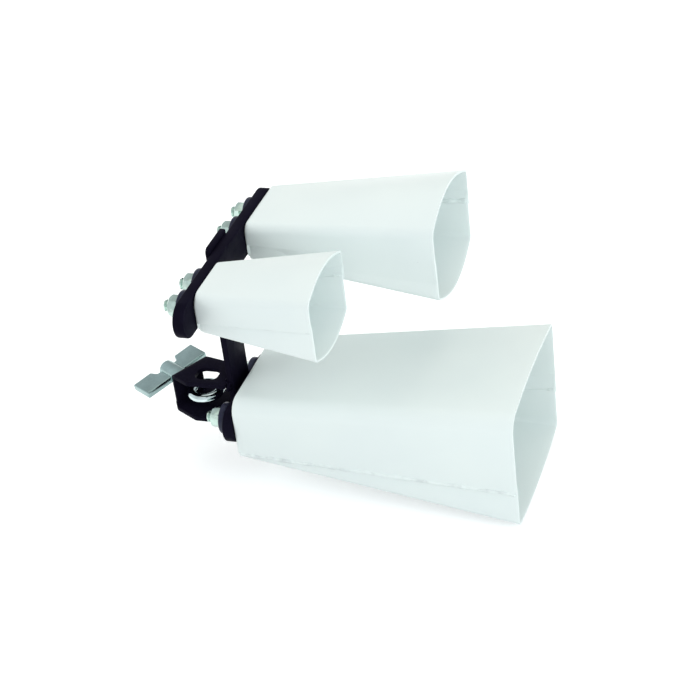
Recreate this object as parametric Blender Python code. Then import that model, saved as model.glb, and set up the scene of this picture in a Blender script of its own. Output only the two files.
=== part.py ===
# Triple cowbell: three welded sheet-steel bells bolted to a black bracket with a rod clamp.
# Metres, +Z up. The origin is on the axis of the rod that the clamp grips, level with the eye.
# +X runs from the bells' closed ends to their mouths, +Y from the small bell to the medium one.

import math

import bmesh
import bpy
from mathutils import Matrix, Vector
from mathutils.geometry import convex_hull_2d

# Clearance between pieces that touch on the real object
GAP = 0.0003

# Sheet of the bells: wall, bends at the closed end and the far shoulder, lap at the welded seams
WALL = 0.0015
END_BEND = 0.002
FAR_BEND = 0.004
LAP = 0.003

# Where the closed ends and the two rows of bolts stand from the rod's axis
END_X = 0.0325
LOWER_BOLT_Z = -0.0043
UPPER_BOLT_Z = 0.107
LARGE_Y = 0.006
MEDIUM_Y = 0.0605
SMALL_Y = -0.0405

# Large bell
LARGE_LENGTH = 0.2027
LARGE_MOUTH_WIDTH = 0.120
LARGE_MOUTH_SIDE = 0.0852
LARGE_MOUTH_CROWN = 0.004
LARGE_END_WIDTH = 0.085
LARGE_END_HEIGHT = 0.0477
LARGE_BEND_MOUTH = 0.013
LARGE_BEND_END = 0.0115
LARGE_FOOT_BEND = 0.005
LARGE_SEAM_MOUTH = -0.0145
LARGE_SEAM_END = -0.0182
LARGE_BOLT_PITCH = 0.057
LARGE_BOLT_DROP = 0.0228

# Medium bell
MEDIUM_LENGTH = 0.1389
MEDIUM_MOUTH_WIDTH = 0.0885
MEDIUM_MOUTH_SIDE = 0.052
MEDIUM_MOUTH_CROWN = 0.012
MEDIUM_END_WIDTH = 0.060
MEDIUM_END_HEIGHT = 0.0295
MEDIUM_BEND_MOUTH = 0.009
MEDIUM_BEND_END = 0.0075
MEDIUM_FOOT_BEND = 0.005
MEDIUM_SEAM_MOUTH = 0.0002
MEDIUM_SEAM_END = 0.0002
MEDIUM_BOLT_DROP = 0.01275
MEDIUM_BOLT_SHIFT = -0.004

# Small bell
SMALL_LENGTH = 0.0836
SMALL_MOUTH_WIDTH = 0.069
SMALL_MOUTH_SIDE = 0.0435
SMALL_MOUTH_CROWN = 0.008
SMALL_END_WIDTH = 0.0465
SMALL_END_HEIGHT = 0.029
SMALL_BEND_MOUTH = 0.006
SMALL_BEND_END = 0.010
SMALL_FOOT_BEND = 0.004
SMALL_SEAM_MOUTH = 0.0017
SMALL_SEAM_END = -0.0052
SMALL_BOLT_DROP = 0.014

# Bolts, nuts and rubber washers
BOLT_DIAMETER = 0.008
BOLT_HEAD_FLATS = 0.013
BOLT_HEAD_HEIGHT = 0.0053
BOLT_STICKOUT = 0.0040
NUT_FLATS = 0.013
NUT_HEIGHT = 0.0070
WASHER_THICK = 0.0049
WASHER_EDGE = 0.0015
WASHER_SPACE = 0.0050
HEAD_CLEARANCE = 0.0006

# Flat bars that carry the bells
BAR_THICK = 0.0075
BAR_HEIGHT = 0.025
BAR_EDGE = 0.0008
CROSS_BAR_RISE = 0.001
LOWER_BAR_RISE = -0.0012
CROSS_BAR_NEAR_OVERHANG = 0.0278
CROSS_BAR_FAR_OVERHANG = 0.022
LOWER_BAR_OVERHANG = 0.0165

# Upright arm between the two bars
ARM_SHIFT = 0.0002
ARM_CLEARANCE = 0.0030
ARM_THICK = 0.0044
ARM_TOP_RISE = 0.0025
ARM_FOOT_RISE = 0.001
ARM_NEAR_CORNER = 0.004
ARM_FAR_CORNER = 0.001

# Rod clamp: a bent U with two flanges, turned about the rod
CLAMP_TURN = math.radians(150.5)
CLAMP_SHEET = 0.003
CLAMP_REACH = 0.020
CLAMP_WEB_NEAR = 0.0150
CLAMP_WEB_FAR = 0.0135
CLAMP_WEB_RELIEF = 0.0098
CLAMP_UPPER_SIDE = 0.0158
CLAMP_LOWER_SIDE = 0.0177
CLAMP_UPPER_FRONT = -0.0128
CLAMP_LOWER_FRONT = -0.0177
CLAMP_UPPER_RUN = 0.016
CLAMP_LOWER_RUN = 0.005
CLAMP_FAR_CORNERS = ((0.0125, 0.0162), (0.003, 0.0189))
CLAMP_CORNER = 0.0012
CLAMP_TOP = 0.0156
CLAMP_BOTTOM = -0.0129
CLAMP_BEND = 0.0045
CLAMP_UPPER_WELD = 0.0182
CLAMP_LOWER_WELD = 0.0137
CLAMP_WELD_FAR = 0.0058
ROD_HOLE_LENGTH = 0.0169
ROD_HOLE_WIDTH = 0.0143
ROD_HOLE_CORNER = 0.0055
ROD_HOLE_SHIFT = 0.0021

# Eyebolt and wing nut
EYE_BORE = 0.013
EYE_SECTION = 0.0068
EYE_DRAW = 0.0025
SHANK_DIAMETER = 0.008
SHANK_END = 0.0455
HUB_DIAMETER = 0.013
HUB_END = 0.0492
HUB_EDGE = 0.0024
WING_SPAN = 0.0548
WING_INNER = 0.0345
WING_TIP_INNER = 0.0350
WING_OUTER = 0.0524
WING_THICK = 0.0052
WING_DROP = 0.0006
WING_NOTCH_SPAN = 0.0228
WING_NOTCH_DEPTH = 0.0055
WING_EDGE = 0.0012
WING_TILT = math.radians(-7.2)

# Smoothness of round pieces
ROUND_SEGMENTS = 32
SMALL_SEGMENTS = 20
RING_SEGMENTS = 14
ARC_STEPS = 6
CROWN_STEPS = 10

# Places worked out from the sizes above
BAR_FRONT_X = END_X - GAP
BAR_BACK_X = BAR_FRONT_X - BAR_THICK
WASHER_FRONT_X = BAR_BACK_X - GAP
NUT_FRONT_X = WASHER_FRONT_X - WASHER_THICK - GAP
BOLT_TIP_X = NUT_FRONT_X - NUT_HEIGHT - BOLT_STICKOUT
HEAD_X = END_X + WALL + GAP
ARM_FRONT_X = BAR_BACK_X - GAP
ARM_BACK_X = ARM_FRONT_X - ARM_THICK
BOLT_HOLE = BOLT_DIAMETER + 2 * GAP
SHANK_HOLE = SHANK_DIAMETER + 2 * GAP

# The heads of the small bell's bolts just fit between its sides, and both upper bells share
# their pitch; the washers stand side by side at that pitch, and the arm between the lower ones
HEAD_RADIUS = BOLT_HEAD_FLATS / 2 / math.cos(math.pi / 6)
UPPER_BOLT_PITCH = SMALL_END_WIDTH - 2 * (WALL + HEAD_CLEARANCE + HEAD_RADIUS)
WASHER_DIAMETER = UPPER_BOLT_PITCH - WASHER_SPACE
ARM_Y = LARGE_Y + ARM_SHIFT
ARM_WIDTH = LARGE_BOLT_PITCH - WASHER_DIAMETER - 2 * ARM_CLEARANCE
CROSS_BAR_Z = UPPER_BOLT_Z + CROSS_BAR_RISE
LOWER_BAR_Z = LOWER_BOLT_Z + LOWER_BAR_RISE
LARGE_Z = LOWER_BOLT_Z + LARGE_BOLT_DROP - LARGE_END_HEIGHT / 2
MEDIUM_Z = UPPER_BOLT_Z + MEDIUM_BOLT_DROP - MEDIUM_END_HEIGHT / 2
SMALL_Z = UPPER_BOLT_Z + SMALL_BOLT_DROP - SMALL_END_HEIGHT / 2

BELLS = {
    "large": {
        "y": LARGE_Y, "z": LARGE_Z, "length": LARGE_LENGTH,
        "mouth_width": LARGE_MOUTH_WIDTH, "mouth_side": LARGE_MOUTH_SIDE,
        "crown": LARGE_MOUTH_CROWN, "end_width": LARGE_END_WIDTH,
        "end_height": LARGE_END_HEIGHT, "bend_mouth": LARGE_BEND_MOUTH,
        "bend_end": LARGE_BEND_END, "foot_bend": LARGE_FOOT_BEND,
        "seam_mouth": LARGE_SEAM_MOUTH, "seam_end": LARGE_SEAM_END,
        "bolt_pitch": LARGE_BOLT_PITCH, "bolt_y": LARGE_Y, "bolt_z": LOWER_BOLT_Z,
    },
    "medium": {
        "y": MEDIUM_Y, "z": MEDIUM_Z, "length": MEDIUM_LENGTH,
        "mouth_width": MEDIUM_MOUTH_WIDTH, "mouth_side": MEDIUM_MOUTH_SIDE,
        "crown": MEDIUM_MOUTH_CROWN, "end_width": MEDIUM_END_WIDTH,
        "end_height": MEDIUM_END_HEIGHT, "bend_mouth": MEDIUM_BEND_MOUTH,
        "bend_end": MEDIUM_BEND_END, "foot_bend": MEDIUM_FOOT_BEND,
        "seam_mouth": MEDIUM_SEAM_MOUTH, "seam_end": MEDIUM_SEAM_END,
        "bolt_pitch": UPPER_BOLT_PITCH, "bolt_y": MEDIUM_Y + MEDIUM_BOLT_SHIFT, "bolt_z": UPPER_BOLT_Z,
    },
    "small": {
        "y": SMALL_Y, "z": SMALL_Z, "length": SMALL_LENGTH,
        "mouth_width": SMALL_MOUTH_WIDTH, "mouth_side": SMALL_MOUTH_SIDE,
        "crown": SMALL_MOUTH_CROWN, "end_width": SMALL_END_WIDTH,
        "end_height": SMALL_END_HEIGHT, "bend_mouth": SMALL_BEND_MOUTH,
        "bend_end": SMALL_BEND_END, "foot_bend": SMALL_FOOT_BEND,
        "seam_mouth": SMALL_SEAM_MOUTH, "seam_end": SMALL_SEAM_END,
        "bolt_pitch": UPPER_BOLT_PITCH, "bolt_y": SMALL_Y, "bolt_z": UPPER_BOLT_Z,
    },
}


def clear_scene():
    for old in list(bpy.data.objects):
        bpy.data.objects.remove(old, do_unlink=True)


def finish(name, colour, roughness, metallic):
    material = bpy.data.materials.new(name)
    material.use_nodes = True
    shader = material.node_tree.nodes["Principled BSDF"]
    shader.inputs["Base Color"].default_value = (*colour, 1.0)
    shader.inputs["Roughness"].default_value = roughness
    shader.inputs["Metallic"].default_value = metallic
    return material


def add_object(name, bm, material, smooth_angle=35.0):
    bmesh.ops.recalc_face_normals(bm, faces=bm.faces)
    mesh = bpy.data.meshes.new(name)
    bm.to_mesh(mesh)
    bm.free()
    for polygon in mesh.polygons:
        polygon.use_smooth = True
    mesh.set_sharp_from_angle(angle=math.radians(smooth_angle))
    obj = bpy.data.objects.new(name, mesh)
    bpy.context.scene.collection.objects.link(obj)
    if material:
        mesh.materials.append(material)
    return obj


def add_cutter(name, bm):
    cutter = add_object(name, bm, None)
    cutter.hide_render = True
    cutter.display_type = "WIRE"
    return cutter


def boolean(obj, other, operation):
    modifier = obj.modifiers.new(operation.lower(), "BOOLEAN")
    modifier.operation = operation
    modifier.solver = "EXACT"
    modifier.object = other
    return modifier


def apply_modifiers(obj):
    # Bake the stack into the mesh and drop the helpers that the booleans used
    helpers = [m.object for m in obj.modifiers if m.type == "BOOLEAN"]
    bpy.context.view_layer.update()
    evaluated = obj.evaluated_get(bpy.context.evaluated_depsgraph_get())
    baked = bpy.data.meshes.new_from_object(evaluated)
    obj.modifiers.clear()
    obj.data = baked
    for helper in helpers:
        bpy.data.objects.remove(helper, do_unlink=True)


def prism(bm, outline, axis_from, axis_to, to_world):
    # Closed prism over a 2-D outline, from one level to another along the third axis
    low = [bm.verts.new(to_world(u, v, axis_from)) for u, v in outline]
    high = [bm.verts.new(to_world(u, v, axis_to)) for u, v in outline]
    bm.faces.new(low[::-1])
    bm.faces.new(high)
    count = len(outline)
    for i in range(count):
        j = (i + 1) % count
        bm.faces.new((low[i], low[j], high[j], high[i]))


def soften_rims(bm, axis, width, segments=2):
    # Round the edges that lie in the two flat end faces across one axis
    levels = [vertex.co[axis] for vertex in bm.verts]
    ends = (min(levels), max(levels))
    rims = []
    for edge in bm.edges:
        a, b = (vertex.co[axis] for vertex in edge.verts)
        if any(abs(a - end) < 1e-7 and abs(b - end) < 1e-7 for end in ends):
            rims.append(edge)
    bmesh.ops.bevel(bm, geom=rims, offset=width, segments=segments, profile=0.5, affect="EDGES")


def rod_along_x(bm, radius, start, end, segments, y=0.0, z=0.0):
    turn = Matrix.Rotation(math.pi / 2, 4, "Y")
    place = Matrix.Translation(((start + end) / 2, y, z)) @ turn
    bmesh.ops.create_cone(bm, cap_ends=True, segments=segments, radius1=radius, radius2=radius,
                          depth=abs(end - start), matrix=place)


def lerp(a, b, t):
    return a + (b - a) * t


def arc(centre, radius, start, end, steps):
    points = []
    for i in range(steps + 1):
        angle = lerp(start, end, i / steps)
        points.append((centre[0] + radius * math.cos(angle), centre[1] + radius * math.sin(angle)))
    return points


def shoulder_arc(half_width, shoulder, rise, bend):
    # Rounded corner between an upright side and a face that climbs from it at the angle rise
    tangent = bend * math.tan((math.pi / 2 - rise) / 2)
    return arc((-half_width + bend, shoulder - tangent), bend, math.pi, math.pi / 2 + rise, ARC_STEPS)


def arch_profile(half_width, shoulder, crown, near_bend, far_bend, foot):
    # Section of a half shell: up the near side, over the crowned face, down the far side
    slope = 2.0 * crown / half_width
    rise = math.atan(slope)
    near = shoulder_arc(half_width, shoulder, rise, near_bend)
    far = [(-y, z) for y, z in reversed(shoulder_arc(half_width, shoulder, rise, far_bend))]
    (start_y, start_z), (end_y, end_z) = near[-1], far[0]
    face = []
    for i in range(1, CROWN_STEPS):
        u = i / CROWN_STEPS
        bulge = slope * (end_y - start_y) * (u - u * u)
        face.append((lerp(start_y, end_y, u), lerp(start_z, end_z, u * u * (3 - 2 * u)) + bulge))
    return [(-half_width, foot)] + near + face + far + [(half_width, foot)]


def section(bell, t, inset):
    # Half width, shoulder height and crown of the bell at a share t of its length
    half_width = lerp(bell["end_width"], bell["mouth_width"], t) / 2 - inset
    shoulder = lerp(bell["end_height"], bell["mouth_side"], t) / 2 - inset
    return half_width, shoulder, bell["crown"] * t


def seam_height(bell, t):
    return lerp(bell["seam_end"], bell["seam_mouth"], t)


def loft(bm, rings):
    rows = [[bm.verts.new(point) for point in ring] for ring in rings]
    for row, following in zip(rows, rows[1:]):
        for i in range(len(row) - 1):
            bm.faces.new((row[i], row[i + 1], following[i + 1], following[i]))
    return rows


def thicken(obj):
    modifier = obj.modifiers.new("sheet", "SOLIDIFY")
    modifier.thickness = WALL
    modifier.offset = -1.0
    modifier.use_even_offset = True


def bolt_places(bell):
    return [(bell["bolt_y"] + side * bell["bolt_pitch"] / 2, bell["bolt_z"]) for side in (-1, 1)]


def bolt_hole_cutter(name, places, start, end):
    bm = bmesh.new()
    for y, z in places:
        rod_along_x(bm, BOLT_HOLE / 2, start, end, SMALL_SEGMENTS, y, z)
    return add_cutter(name, bm)


def upper_shell(size, bell, material):
    # Crowned top, both sides down to the seam and the whole end wall, bent from one sheet
    def ring(x, inset):
        t = (x - END_X) / bell["length"]
        half_width, shoulder, crown = section(bell, t, inset)
        near_bend = lerp(bell["bend_end"], bell["bend_mouth"], t) - inset
        profile = arch_profile(half_width, shoulder, crown, near_bend, FAR_BEND - inset, seam_height(bell, t))
        return [(x, bell["y"] + y, bell["z"] + z) for y, z in profile]

    rings = []
    for i in range(4):
        angle = math.pi / 2 * i / 3
        rings.append(ring(END_X + END_BEND * (1 - math.cos(angle)), END_BEND * (1 - math.sin(angle))))
    rings.append(ring(END_X + bell["length"], 0.0))

    bm = bmesh.new()
    rows = loft(bm, rings)
    half_width = bell["end_width"] / 2 - END_BEND
    floor = -bell["end_height"] / 2
    corner = bell["foot_bend"]
    wall_foot = [(half_width, floor + corner), (half_width - corner, floor),
                 (corner - half_width, floor), (-half_width, floor + corner)]
    if bell["seam_end"] - floor <= corner:
        wall_foot = wall_foot[1:3]
    foot = [bm.verts.new((END_X, bell["y"] + y, bell["z"] + z)) for y, z in wall_foot]
    bm.faces.new(rows[0] + foot)
    shell = add_object(f"{size}_bell_upper_shell", bm, material)
    if sum(p.normal.x for p in shell.data.polygons if len(p.vertices) > 8) > 0:
        shell.data.flip_normals()
    thicken(shell)
    cutter = bolt_hole_cutter(f"{size}_end_holes", bolt_places(bell), END_X - WALL, END_X + 3 * WALL)
    boolean(shell, cutter, "DIFFERENCE")
    apply_modifiers(shell)
    return shell


def lower_shell(size, bell, material):
    # Crowned bottom with two sides that tuck inside the upper shell along the lap
    inset = WALL + GAP
    rings = []
    for x in (END_X + END_BEND + GAP, END_X + bell["length"]):
        t = (x - END_X) / bell["length"]
        half_width, shoulder, crown = section(bell, t, 0.0)
        top = seam_height(bell, t) + LAP
        bend = bell["foot_bend"]
        profile = arch_profile(half_width - inset, shoulder, crown, bend, bend, -top)
        rings.append([(x, bell["y"] + y, bell["z"] - z) for y, z in profile])
    bm = bmesh.new()
    loft(bm, rings)
    shell = add_object(f"{size}_bell_lower_shell", bm, material)
    lowest = min(shell.data.polygons, key=lambda p: p.center.z)
    if lowest.normal.z > 0:
        shell.data.flip_normals()
    thicken(shell)
    apply_modifiers(shell)
    return shell


def flat_bar(name, first_y, last_y, z, places, material):
    # Flat steel bar with round ends, standing on edge across the closed ends
    radius = BAR_HEIGHT / 2
    outline = arc((last_y - radius, z), radius, -math.pi / 2, math.pi / 2, 2 * ARC_STEPS)
    outline += arc((first_y + radius, z), radius, math.pi / 2, 1.5 * math.pi, 2 * ARC_STEPS)
    bm = bmesh.new()
    prism(bm, outline, BAR_BACK_X, BAR_FRONT_X, lambda y, up, x: (x, y, up))
    soften_rims(bm, 0, BAR_EDGE)
    bar = add_object(name, bm, material)
    boolean(bar, bolt_hole_cutter(f"{name}_holes", places, BAR_BACK_X - WALL, END_X + WALL), "DIFFERENCE")
    apply_modifiers(bar)
    return bar


def upright_arm(material):
    top = CROSS_BAR_Z + BAR_HEIGHT / 2 + ARM_TOP_RISE
    bottom = LOWER_BAR_Z - BAR_HEIGHT / 2 + ARM_FOOT_RISE
    near = ARM_Y - ARM_WIDTH / 2
    far = ARM_Y + ARM_WIDTH / 2
    quarter = math.pi / 2
    far_centre = (far - ARM_FAR_CORNER, top - ARM_FAR_CORNER)
    near_centre = (near + ARM_NEAR_CORNER, top - ARM_NEAR_CORNER)
    outline = [(near, bottom), (far, bottom)]
    outline += arc(far_centre, ARM_FAR_CORNER, 0.0, quarter, ARC_STEPS)
    outline += arc(near_centre, ARM_NEAR_CORNER, quarter, math.pi, ARC_STEPS)
    bm = bmesh.new()
    prism(bm, outline, ARM_BACK_X, ARM_FRONT_X, lambda y, up, x: (x, y, up))
    soften_rims(bm, 0, BAR_EDGE)
    return add_object("upright_arm", bm, material)


def clamp_empty():
    # Local +X of this empty is the eyebolt's axis, pointing out to the wing nut
    empty = bpy.data.objects.new("clamp_axis", None)
    bpy.context.scene.collection.objects.link(empty)
    empty.rotation_euler = (0.0, 0.0, CLAMP_TURN)
    return empty


def flange_outline(side, front, run, weld):
    # From just outside the web along the eyebolt's near side, then along the bars to the arm, and back
    to_local = Matrix.Rotation(-CLAMP_TURN, 2)
    outside = CLAMP_REACH + GAP
    seat_x = ARM_BACK_X - GAP
    turn_x = (front - side * math.cos(CLAMP_TURN)) / math.sin(CLAMP_TURN)
    corners = [(outside, CLAMP_WEB_NEAR), (CLAMP_REACH - CLAMP_BEND, side), (turn_x, side)]
    for x, y in ((run, front), (seat_x, ARM_Y - weld), (seat_x, ARM_Y + CLAMP_WELD_FAR)):
        corners.append(to_local @ Vector((x, y)))
    corners += [(x, -y) for x, y in reversed(CLAMP_FAR_CORNERS)]
    corners.append((outside, -CLAMP_WEB_FAR))
    points = [Vector(corner) for corner in corners]
    return [points[i] for i in convex_hull_2d(points)]


def flange_block(name, outline, low, high):
    bm = bmesh.new()
    prism(bm, outline, low, high, lambda x, y, up: (x, y, up))
    upright = [e for e in bm.edges if abs(e.verts[0].co.z - e.verts[1].co.z) > GAP]
    bmesh.ops.bevel(bm, geom=upright, offset=CLAMP_CORNER, segments=3, profile=0.5, affect="EDGES")
    return add_cutter(name, bm)


def flange_cutter():
    # The lower flange reaches further to the near side than the web and the upper flange
    step = CLAMP_BOTTOM + CLAMP_BEND
    upper = flange_outline(CLAMP_UPPER_SIDE, CLAMP_UPPER_FRONT, CLAMP_UPPER_RUN, CLAMP_UPPER_WELD)
    lower = flange_outline(CLAMP_LOWER_SIDE, CLAMP_LOWER_FRONT, CLAMP_LOWER_RUN, CLAMP_LOWER_WELD)
    cutter = flange_block("clamp_outline", lower, 2 * CLAMP_BOTTOM, step)
    boolean(cutter, flange_block("upper_outline", upper, step - GAP, 2 * CLAMP_TOP), "UNION")
    apply_modifiers(cutter)
    return cutter


def rod_hole_outline():
    # Long hole with round corners, lying square to the bars and a little nearer to the arm than the eye
    to_local = Matrix.Rotation(-CLAMP_TURN, 2)
    reach = ROD_HOLE_LENGTH / 2 - ROD_HOLE_CORNER
    half = ROD_HOLE_WIDTH / 2 - ROD_HOLE_CORNER
    quarter = math.pi / 2
    outline = []
    for i, (x, y) in enumerate(((reach, half), (-reach, half), (-reach, -half), (reach, -half))):
        outline += arc((ROD_HOLE_SHIFT + x, y), ROD_HOLE_CORNER, i * quarter, (i + 1) * quarter, ARC_STEPS)
    return [to_local @ Vector(point) for point in outline]


def rod_clamp(parent, material):
    # Bent U: its section is drawn in the eyebolt's plane, then cut to the flange outline
    reach = CLAMP_REACH
    back = -2 * CLAMP_REACH
    inner = CLAMP_BEND - CLAMP_SHEET
    high = CLAMP_TOP - CLAMP_SHEET
    low = CLAMP_BOTTOM + CLAMP_SHEET
    quarter = math.pi / 2
    web = reach - CLAMP_SHEET
    outline = [(back, CLAMP_BOTTOM)]
    outline += arc((reach - CLAMP_BEND, CLAMP_BOTTOM + CLAMP_BEND), CLAMP_BEND, -quarter, 0.0, ARC_STEPS)
    outline += arc((reach - CLAMP_BEND, CLAMP_TOP - CLAMP_BEND), CLAMP_BEND, 0.0, quarter, ARC_STEPS)
    outline += [(back, CLAMP_TOP), (back, high)]
    outline += arc((web - inner, high - inner), inner, quarter, 0.0, ARC_STEPS)
    outline += arc((web - inner, low + inner), inner, 0.0, -quarter, ARC_STEPS)
    outline += [(back, low)]
    bm = bmesh.new()
    width = 2 * CLAMP_REACH
    prism(bm, outline, -width, width, lambda along, up, across: (along, across, up))
    clamp = add_object("rod_clamp", bm, material)

    boolean(clamp, flange_cutter(), "INTERSECT")
    # The rod goes through the upper flange and ends on the lower one, which is closed
    bm = bmesh.new()
    prism(bm, rod_hole_outline(), 0.0, 2 * CLAMP_TOP, lambda x, y, up: (x, y, up))
    boolean(clamp, add_cutter("rod_hole", bm), "DIFFERENCE")
    # The far edge of the web is relieved between the two bends
    bm = bmesh.new()
    relief = [(web - CLAMP_BEND, -CLAMP_WEB_RELIEF), (web - CLAMP_BEND, -width),
              (reach + CLAMP_BEND, -width), (reach + CLAMP_BEND, -CLAMP_WEB_RELIEF)]
    prism(bm, relief, CLAMP_BOTTOM + CLAMP_BEND, CLAMP_TOP - CLAMP_BEND, lambda x, y, up: (x, y, up))
    boolean(clamp, add_cutter("web_relief", bm), "DIFFERENCE")
    bm = bmesh.new()
    rod_along_x(bm, SHANK_HOLE / 2, web - CLAMP_SHEET, reach + CLAMP_SHEET, SMALL_SEGMENTS)
    boolean(clamp, add_cutter("shank_hole", bm), "DIFFERENCE")
    apply_modifiers(clamp)
    clamp.parent = parent
    return clamp


def eyebolt(parent, material):
    # Round ring that the rod passes through, drawn towards the web, with the threaded shank out of it
    ring_radius = (EYE_BORE + EYE_SECTION) / 2
    bm = bmesh.new()
    upright = Matrix.Translation((EYE_DRAW + ring_radius, 0.0, 0.0)) @ Matrix.Rotation(math.pi / 2, 4, "X")
    bmesh.ops.create_circle(bm, segments=RING_SEGMENTS, radius=EYE_SECTION / 2, matrix=upright)
    bmesh.ops.spin(bm, geom=bm.verts[:] + bm.edges[:], cent=(EYE_DRAW, 0, 0), axis=(0, 0, 1),
                   angle=2 * math.pi, steps=ROUND_SEGMENTS, use_merge=True)
    eye = add_object("eyebolt", bm, material)
    bm = bmesh.new()
    start = EYE_DRAW + EYE_BORE / 2 + EYE_SECTION / 3
    rod_along_x(bm, SHANK_DIAMETER / 2, start, SHANK_END, SMALL_SEGMENTS)
    boolean(eye, add_cutter("eye_shank", bm), "UNION")
    apply_modifiers(eye)
    eye.parent = parent
    return eye


def wing_nut(parent, material):
    # Long hub with two flat wings a little below its axis, notched beside the hub on their outer edge
    bm = bmesh.new()
    rod_along_x(bm, HUB_DIAMETER / 2, CLAMP_REACH + GAP, HUB_END, ROUND_SEGMENTS)
    rims = [e for e in bm.edges if all(abs(v.co.x - HUB_END) < 1e-7 for v in e.verts)]
    bmesh.ops.bevel(bm, geom=rims, offset=HUB_EDGE, segments=3, profile=0.5, affect="EDGES")
    nut = add_object("wing_nut", bm, material)

    tip = WING_SPAN / 2
    notch = WING_NOTCH_SPAN / 2
    waist = WING_OUTER - WING_NOTCH_DEPTH
    half_hub = HUB_DIAMETER / 2
    side = [(WING_INNER, half_hub), (WING_TIP_INNER, tip), (WING_OUTER, tip), (WING_OUTER, notch),
            (waist, (notch + half_hub) / 2)]
    outline = side + [(x, -y) for x, y in reversed(side)]
    bm = bmesh.new()
    low = -WING_THICK / 2 - WING_DROP
    prism(bm, outline, low, low + WING_THICK, lambda x, y, up: (x, y, up))
    soften_rims(bm, 2, WING_EDGE)
    boolean(nut, add_cutter("wings", bm), "UNION")
    bm = bmesh.new()
    rod_along_x(bm, SHANK_HOLE / 2, CLAMP_REACH - GAP, HUB_END + GAP, SMALL_SEGMENTS)
    boolean(nut, add_cutter("hub_bore", bm), "DIFFERENCE")
    apply_modifiers(nut)
    nut.parent = parent
    nut.rotation_euler = (WING_TILT, 0.0, 0.0)
    return nut


def hex_prism(bm, flats, start, end):
    radius = flats / 2 / math.cos(math.pi / 6)
    rod_along_x(bm, radius, start, end, 6)


def hex_bolt(name, place, material):
    # Local origin at the underside of the head, shank along -X
    bm = bmesh.new()
    hex_prism(bm, BOLT_HEAD_FLATS, 0.0, BOLT_HEAD_HEIGHT)
    bolt = add_object(name, bm, material)
    length = HEAD_X - BOLT_TIP_X
    bm = bmesh.new()
    rod_along_x(bm, BOLT_DIAMETER / 2, BOLT_HEAD_HEIGHT / 2, -length, SMALL_SEGMENTS)
    tip = [e for e in bm.edges if all(abs(v.co.x + length) < 1e-7 for v in e.verts)]
    bmesh.ops.bevel(bm, geom=tip, offset=BOLT_DIAMETER / 8, segments=1, affect="EDGES")
    boolean(bolt, add_cutter(f"{name}_shank", bm), "UNION")
    apply_modifiers(bolt)
    bolt.location = (HEAD_X, *place)
    return bolt


def bored(obj, end):
    bm = bmesh.new()
    rod_along_x(bm, BOLT_HOLE / 2, GAP, end - GAP, SMALL_SEGMENTS)
    boolean(obj, add_cutter(f"{obj.name}_bore", bm), "DIFFERENCE")
    apply_modifiers(obj)


def hex_nut(name, place, material):
    bm = bmesh.new()
    hex_prism(bm, NUT_FLATS, 0.0, -NUT_HEIGHT)
    nut = add_object(name, bm, material)
    # A turned cone over the corners gives the nut its chamfered outer face
    bm = bmesh.new()
    rod_along_x(bm, NUT_FLATS * 0.62, GAP, -NUT_HEIGHT, ROUND_SEGMENTS)
    rims = [e for e in bm.edges if all(abs(v.co.x + NUT_HEIGHT) < 1e-7 for v in e.verts)]
    bmesh.ops.bevel(bm, geom=rims, offset=NUT_FLATS * 0.13, segments=1, affect="EDGES")
    boolean(nut, add_cutter(f"{name}_chamfer", bm), "INTERSECT")
    bored(nut, -NUT_HEIGHT)
    nut.location = (NUT_FRONT_X, *place)
    return nut


def rubber_washer(name, place, material):
    bm = bmesh.new()
    rod_along_x(bm, WASHER_DIAMETER / 2, 0.0, -WASHER_THICK, ROUND_SEGMENTS)
    soften_rims(bm, 0, WASHER_EDGE, 3)
    washer = add_object(name, bm, material)
    bored(washer, -WASHER_THICK)
    washer.location = (WASHER_FRONT_X, *place)
    return washer


def build():
    clear_scene()
    for size, bell in BELLS.items():
        white = finish(f"{size}_bell_white", (0.80, 0.86, 0.84), 0.35, 0.0)
        upper_shell(size, bell, white)
        lower_shell(size, bell, white.copy())
        for side, place in zip(("near", "far"), bolt_places(bell)):
            zinc = finish(f"{size}_{side}_zinc", (0.62, 0.68, 0.65), 0.3, 1.0)
            hex_bolt(f"{size}_bell_bolt_{side}", place, zinc)
            hex_nut(f"{size}_bell_nut_{side}", place, zinc.copy())
            rubber = finish(f"{size}_{side}_rubber", (0.02, 0.02, 0.022), 0.7, 0.0)
            rubber_washer(f"{size}_bell_washer_{side}", place, rubber)

    black = finish("bracket_black", (0.018, 0.017, 0.024), 0.4, 0.0)
    chrome = finish("clamp_chrome", (0.66, 0.72, 0.70), 0.18, 1.0)
    small_near = bolt_places(BELLS["small"])[0]
    medium_far = bolt_places(BELLS["medium"])[1]
    upper_places = bolt_places(BELLS["small"]) + bolt_places(BELLS["medium"])
    flat_bar("cross_bar", small_near[0] - CROSS_BAR_NEAR_OVERHANG, medium_far[0] + CROSS_BAR_FAR_OVERHANG,
             CROSS_BAR_Z, upper_places, black)
    large_near, large_far = bolt_places(BELLS["large"])
    flat_bar("lower_bar", large_near[0] - LOWER_BAR_OVERHANG, large_far[0] + LOWER_BAR_OVERHANG,
             LOWER_BAR_Z, [large_near, large_far], black.copy())
    upright_arm(black.copy())

    axis = clamp_empty()
    rod_clamp(axis, black.copy())
    eyebolt(axis, chrome)
    wing_nut(axis, chrome.copy())


build()
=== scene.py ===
import math

import bmesh
import bpy
from mathutils import Matrix, Vector


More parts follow.
